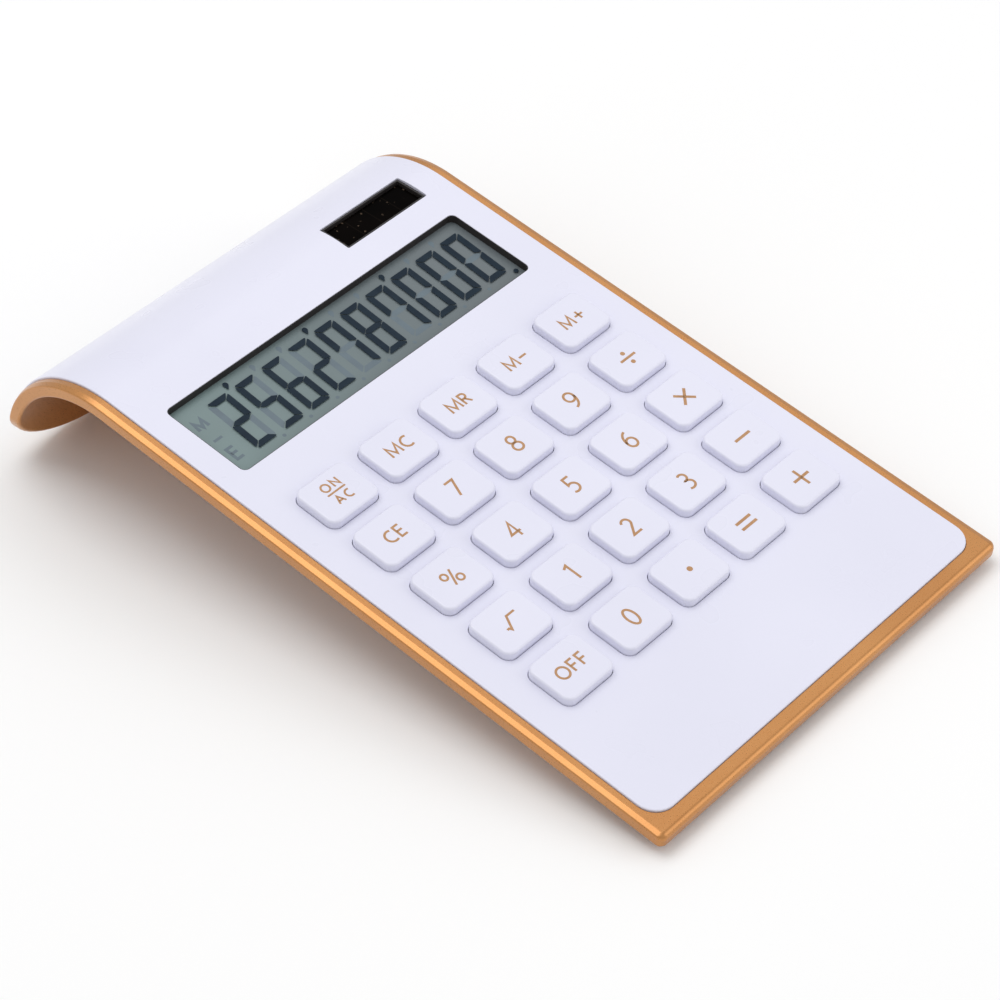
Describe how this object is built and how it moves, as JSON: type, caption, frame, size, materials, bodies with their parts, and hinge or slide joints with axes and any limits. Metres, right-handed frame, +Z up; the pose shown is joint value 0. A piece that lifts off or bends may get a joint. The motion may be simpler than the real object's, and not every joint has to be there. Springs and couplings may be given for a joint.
{
  "type": "desk calculator",
  "caption": "Slim solar desk calculator with a flat key face that curls down at the back into a leg, separate push keys, display window and sliding battery door.",
  "frame": {"origin": "centre of the footprint on the desk, under the middle of the bounding box", "axes": "+X to the user's right, +Y from the user towards the curled back, +Z up from the desk"},
  "size_m": [0.1084, 0.188, 0.0328],
  "materials": {
    "white_gloss": "smooth glossy white moulded plastic",
    "gold_lacquer": "satin metallic gold lacquer with fine flake over plastic",
    "black_plastic": "fine matt black moulded plastic",
    "display_glass": "reflective grey-green liquid crystal glass with a front polariser",
    "solar_glass": "dark amorphous silicon cell under glass",
    "rubber": "matt dark rubber",
    "silicone": "translucent grey silicone",
    "circuit_board": "green solder mask over glass fibre",
    "epoxy": "black potting epoxy",
    "ceramic": "fired ceramic with tinned ends",
    "ribbon_film": "amber heat-seal film with printed carbon tracks",
    "steel": "nickel plated steel",
    "wire_red": "red wire insulation",
    "wire_black": "black wire insulation"
  },
  "bodies": {
    "body": {"top_cover": "white_gloss", "curved_shell": "gold_lacquer", "bottom_cover": "gold_lacquer", "keypad_mat": "silicone", "circuit_board": "circuit_board", "processor_dome": "epoxy", "capacitor": "ceramic", "display_bezel": "black_plastic", "display_glass": "display_glass", "display_ribbon": "ribbon_film", "solar_holder": "black_plastic", "solar_cell": "solar_glass", "solar_wire_positive": "wire_red", "solar_wire_negative": "wire_black", "battery": "steel", "battery_contact_negative": "steel", "battery_contact_positive": "steel", "front_foot_left": "rubber", "front_foot_right": "rubber", "rear_pad_left": "rubber", "rear_pad_right": "rubber", "case_screw_1": "steel", "case_screw_2": "steel", "case_screw_3": "steel", "case_screw_4": "steel", "case_screw_5": "steel", "board_screw_1": "steel", "board_screw_2": "steel", "board_screw_3": "steel", "board_screw_4": "steel"},
    "battery_door": {"battery_door": "gold_lacquer"},
    "key_on_ac": {"key_on_ac": "white_gloss"},
    "key_mc": {"key_mc": "white_gloss"},
    "key_mr": {"key_mr": "white_gloss"},
    "key_m_minus": {"key_m_minus": "white_gloss"},
    "key_m_plus": {"key_m_plus": "white_gloss"},
    "key_ce": {"key_ce": "white_gloss"},
    "key_7": {"key_7": "white_gloss"},
    "key_8": {"key_8": "white_gloss"},
    "key_9": {"key_9": "white_gloss"},
    "key_divide": {"key_divide": "white_gloss"},
    "key_percent": {"key_percent": "white_gloss"},
    "key_4": {"key_4": "white_gloss"},
    "key_5": {"key_5": "white_gloss"},
    "key_6": {"key_6": "white_gloss"},
    "key_multiply": {"key_multiply": "white_gloss"},
    "key_square_root": {"key_square_root": "white_gloss"},
    "key_1": {"key_1": "white_gloss"},
    "key_2": {"key_2": "white_gloss"},
    "key_3": {"key_3": "white_gloss"},
    "key_minus": {"key_minus": "white_gloss"},
    "key_off": {"key_off": "white_gloss"},
    "key_0": {"key_0": "white_gloss"},
    "key_decimal": {"key_decimal": "white_gloss"},
    "key_equals": {"key_equals": "white_gloss"},
    "key_plus": {"key_plus": "white_gloss"}
  },
  "joints": [
    {"name": "press_on_ac", "type": "slide", "parent": "body", "child": "key_on_ac", "axis": [0, 0.1736, -0.9848], "range_m": [0, 0.001], "stiffness_N_per_m": 500},
    {"name": "press_mc", "type": "slide", "parent": "body", "child": "key_mc", "axis": [0, 0.1736, -0.9848], "range_m": [0, 0.001], "stiffness_N_per_m": 500},
    {"name": "press_mr", "type": "slide", "parent": "body", "child": "key_mr", "axis": [0, 0.1736, -0.9848], "range_m": [0, 0.001], "stiffness_N_per_m": 500},
    {"name": "press_m_minus", "type": "slide", "parent": "body", "child": "key_m_minus", "axis": [0, 0.1736, -0.9848], "range_m": [0, 0.001], "stiffness_N_per_m": 500},
    {"name": "press_m_plus", "type": "slide", "parent": "body", "child": "key_m_plus", "axis": [0, 0.1736, -0.9848], "range_m": [0, 0.001], "stiffness_N_per_m": 500},
    {"name": "press_ce", "type": "slide", "parent": "body", "child": "key_ce", "axis": [0, 0.1736, -0.9848], "range_m": [0, 0.001], "stiffness_N_per_m": 500},
    {"name": "press_7", "type": "slide", "parent": "body", "child": "key_7", "axis": [0, 0.1736, -0.9848], "range_m": [0, 0.001], "stiffness_N_per_m": 500},
    {"name": "press_8", "type": "slide", "parent": "body", "child": "key_8", "axis": [0, 0.1736, -0.9848], "range_m": [0, 0.001], "stiffness_N_per_m": 500},
    {"name": "press_9", "type": "slide", "parent": "body", "child": "key_9", "axis": [0, 0.1736, -0.9848], "range_m": [0, 0.001], "stiffness_N_per_m": 500},
    {"name": "press_divide", "type": "slide", "parent": "body", "child": "key_divide", "axis": [0, 0.1736, -0.9848], "range_m": [0, 0.001], "stiffness_N_per_m": 500},
    {"name": "press_percent", "type": "slide", "parent": "body", "child": "key_percent", "axis": [0, 0.1736, -0.9848], "range_m": [0, 0.001], "stiffness_N_per_m": 500},
    {"name": "press_4", "type": "slide", "parent": "body", "child": "key_4", "axis": [0, 0.1736, -0.9848], "range_m": [0, 0.001], "stiffness_N_per_m": 500},
    {"name": "press_5", "type": "slide", "parent": "body", "child": "key_5", "axis": [0, 0.1736, -0.9848], "range_m": [0, 0.001], "stiffness_N_per_m": 500},
    {"name": "press_6", "type": "slide", "parent": "body", "child": "key_6", "axis": [0, 0.1736, -0.9848], "range_m": [0, 0.001], "stiffness_N_per_m": 500},
    {"name": "press_multiply", "type": "slide", "parent": "body", "child": "key_multiply", "axis": [0, 0.1736, -0.9848], "range_m": [0, 0.001], "stiffness_N_per_m": 500},
    {"name": "press_square_root", "type": "slide", "parent": "body", "child": "key_square_root", "axis": [0, 0.1736, -0.9848], "range_m": [0, 0.001], "stiffness_N_per_m": 500},
    {"name": "press_1", "type": "slide", "parent": "body", "child": "key_1", "axis": [0, 0.1736, -0.9848], "range_m": [0, 0.001], "stiffness_N_per_m": 500},
    {"name": "press_2", "type": "slide", "parent": "body", "child": "key_2", "axis": [0, 0.1736, -0.9848], "range_m": [0, 0.001], "stiffness_N_per_m": 500},
    {"name": "press_3", "type": "slide", "parent": "body", "child": "key_3", "axis": [0, 0.1736, -0.9848], "range_m": [0, 0.001], "stiffness_N_per_m": 500},
    {"name": "press_minus", "type": "slide", "parent": "body", "child": "key_minus", "axis": [0, 0.1736, -0.9848], "range_m": [0, 0.001], "stiffness_N_per_m": 500},
    {"name": "press_off", "type": "slide", "parent": "body", "child": "key_off", "axis": [0, 0.1736, -0.9848], "range_m": [0, 0.001], "stiffness_N_per_m": 500},
    {"name": "press_0", "type": "slide", "parent": "body", "child": "key_0", "axis": [0, 0.1736, -0.9848], "range_m": [0, 0.001], "stiffness_N_per_m": 500},
    {"name": "press_decimal", "type": "slide", "parent": "body", "child": "key_decimal", "axis": [0, 0.1736, -0.9848], "range_m": [0, 0.001], "stiffness_N_per_m": 500},
    {"name": "press_equals", "type": "slide", "parent": "body", "child": "key_equals", "axis": [0, 0.1736, -0.9848], "range_m": [0, 0.001], "stiffness_N_per_m": 500},
    {"name": "press_plus", "type": "slide", "parent": "body", "child": "key_plus", "axis": [0, 0.1736, -0.9848], "range_m": [0, 0.001], "stiffness_N_per_m": 500},
    {"name": "battery_door_slide", "type": "slide", "parent": "body", "child": "battery_door", "axis": [0, -0.9848, -0.1736], "range_m": [0, 0.022]}
  ]
}
